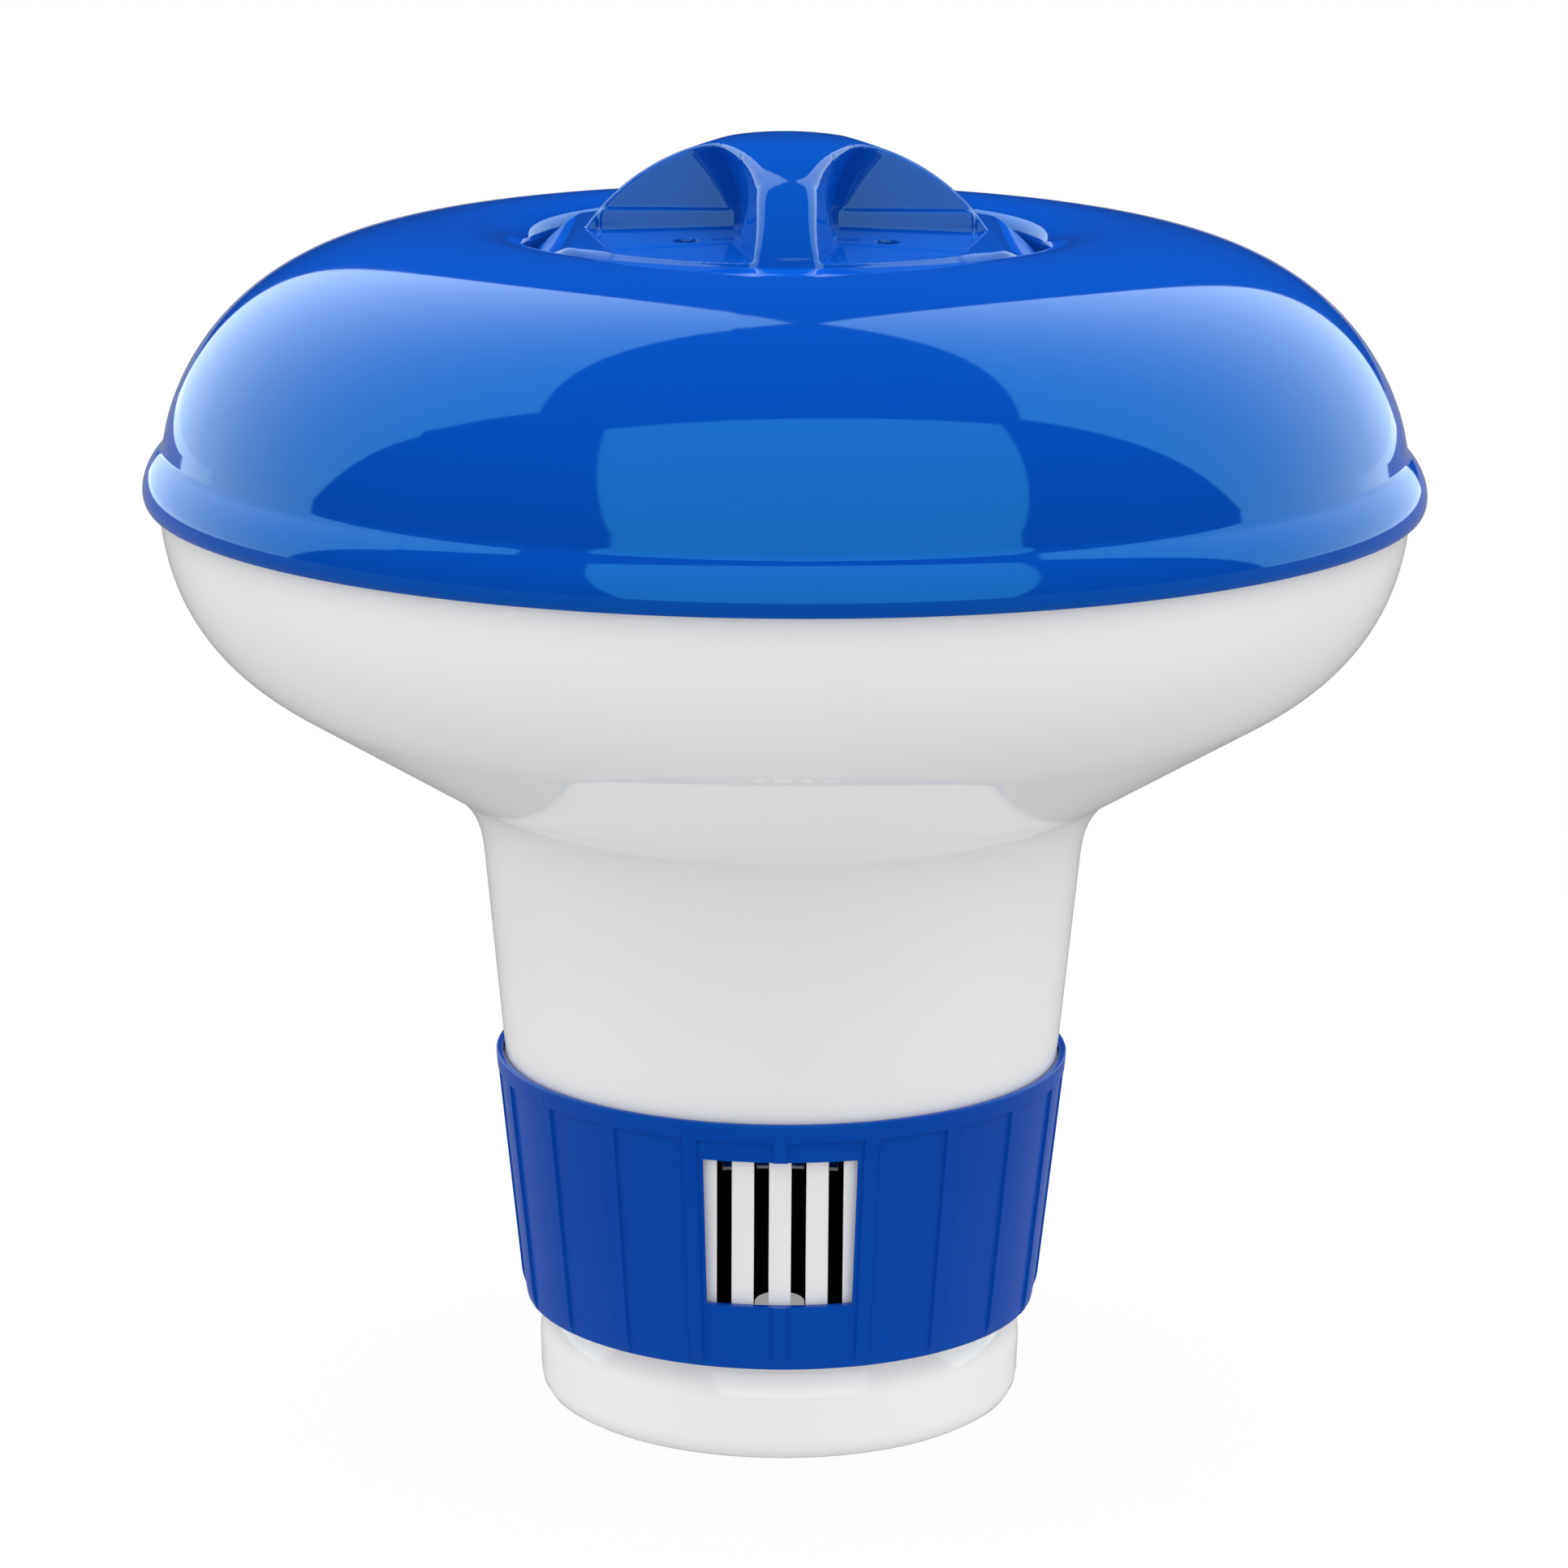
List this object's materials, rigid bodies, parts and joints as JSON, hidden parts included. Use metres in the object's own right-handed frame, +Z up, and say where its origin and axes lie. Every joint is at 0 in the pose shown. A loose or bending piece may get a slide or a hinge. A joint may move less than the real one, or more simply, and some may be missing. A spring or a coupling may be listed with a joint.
{
  "type": "floating chlorine dispenser",
  "caption": "Mushroom-shaped float with a tapered slotted tablet cage below, a turning flow collar over the slots, a ballasted foot and a bayonet lid with a domed cross grip.",
  "frame": {"origin": "middle of the foot's underside", "axes": "+Z up along the axis of revolution, slots and collar windows face -Y and +Y at rest, the lid's thin grip wall runs along X"},
  "size_m": [0.203, 0.203, 0.2058],
  "materials": {
    "blue_shell": "glossy moulded polypropylene",
    "blue_collar": "satin moulded polypropylene",
    "white_shell": "satin moulded polypropylene",
    "seal": "matt black",
    "ballast": "zinc-primed cast ring",
    "screw": "plain stainless"
  },
  "bodies": {
    "float": {"upper_float_shell": "blue_shell", "lower_float_shell": "white_shell", "inner_sleeve": "white_shell", "flange_gasket": "seal", "sleeve_oring": "seal", "sleeve_gasket": "seal", "base_cap": "white_shell", "base_oring": "seal", "ballast_ring": "ballast", "base_screw": "screw", "screw_washer": "seal"},
    "lid_seal": {"lid_gasket": "seal"},
    "lid": {"lid": "blue_shell"},
    "collar": {"flow_collar": "blue_collar"}
  },
  "joints": [
    {"name": "collar_turn", "type": "hinge", "parent": "float", "child": "collar", "pos_m": [0, 0, 0.04], "axis": [0, 0, 1], "range_deg": [-36, 36]},
    {"name": "lid_lift", "type": "slide", "parent": "float", "child": "lid_seal", "axis": [0, 0, 1], "range_m": [0, 0.07]},
    {"name": "lid_turn", "type": "hinge", "parent": "lid_seal", "child": "lid", "pos_m": [0, 0, 0.185], "axis": [0, 0, 1], "range_deg": [0, 40]}
  ]
}
